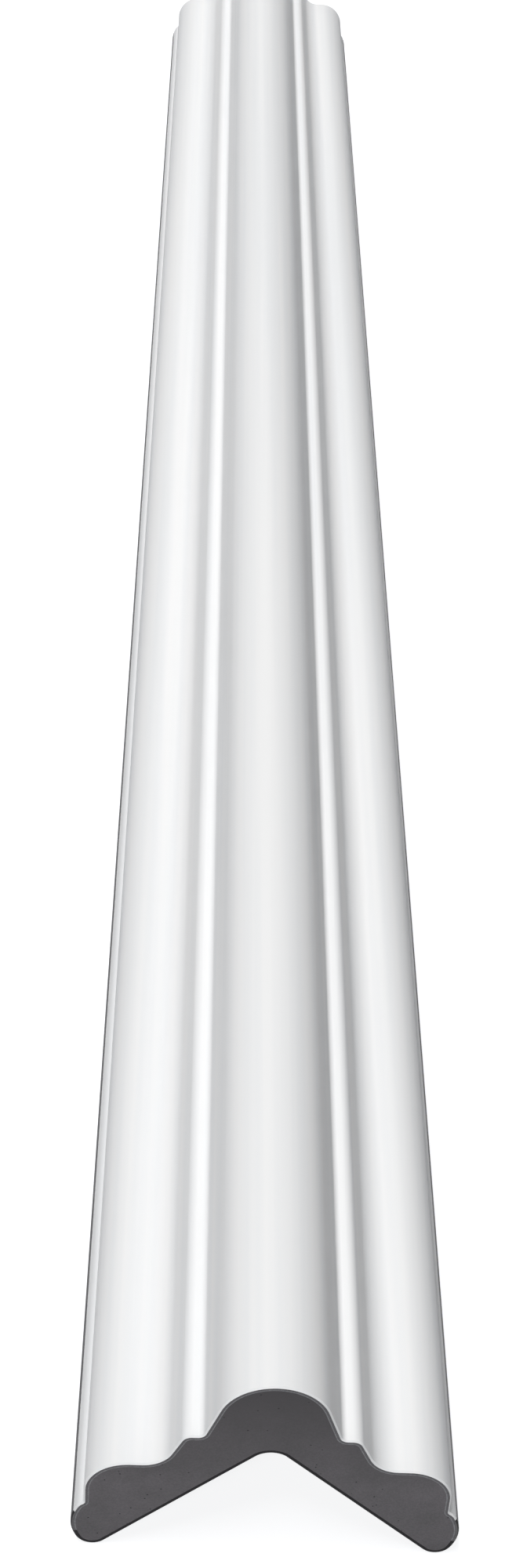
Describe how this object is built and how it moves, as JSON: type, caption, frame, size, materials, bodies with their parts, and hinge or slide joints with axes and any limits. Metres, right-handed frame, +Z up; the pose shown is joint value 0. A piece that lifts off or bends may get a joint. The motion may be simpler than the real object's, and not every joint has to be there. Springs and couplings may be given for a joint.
{
  "type": "corner guard moulding",
  "caption": "Outside-corner guard moulding: a right-angled hollow fits over a wall corner, with a centre bead, stepped coves, rounded nosings and beaded feet.",
  "frame": {"origin": "middle of the floor under the moulding as it lies on its two feet", "axes": "+Y along the length, +X across the two feet, +Z up through the centre bead"},
  "size_m": [0.06, 0.6, 0.0401],
  "materials": {
    "white_face": "gloss"
  },
  "bodies": {
    "root": {"corner_guard_moulding": "white_face"}
  },
  "joints": []
}
